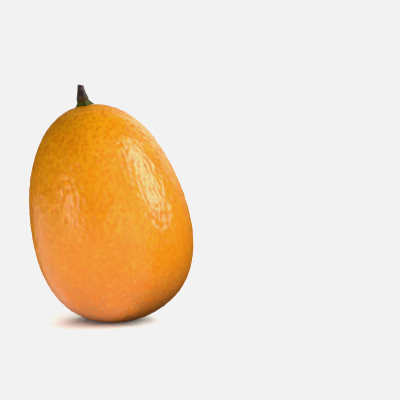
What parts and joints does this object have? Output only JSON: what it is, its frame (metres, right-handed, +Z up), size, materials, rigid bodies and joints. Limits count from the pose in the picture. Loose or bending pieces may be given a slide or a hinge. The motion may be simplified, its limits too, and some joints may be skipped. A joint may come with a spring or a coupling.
{
  "type": "kumquat",
  "caption": "Whole egg-shaped kumquat with its green lobed calyx and a short dark woody stem, standing on a small flat spot on its blossom end and leaning a little.",
  "frame": {"origin": "middle of the small flat spot that the fruit stands on", "axes": "+Z up from the flat spot; the stem end leans 13 degrees from +Z towards -X; +Y runs through the fruit from front to back"},
  "size_m": [0.0299, 0.029, 0.0429],
  "materials": {
    "peel": "waxy orange citrus peel, pitted with fine oil glands",
    "calyx_green": "matt green leaf tissue, browning towards the stem",
    "stem_bark": "dark purplish brown ridged bark"
  },
  "bodies": {
    "root": {"fruit": "peel", "calyx": "calyx_green", "stem": "stem_bark"}
  },
  "joints": []
}
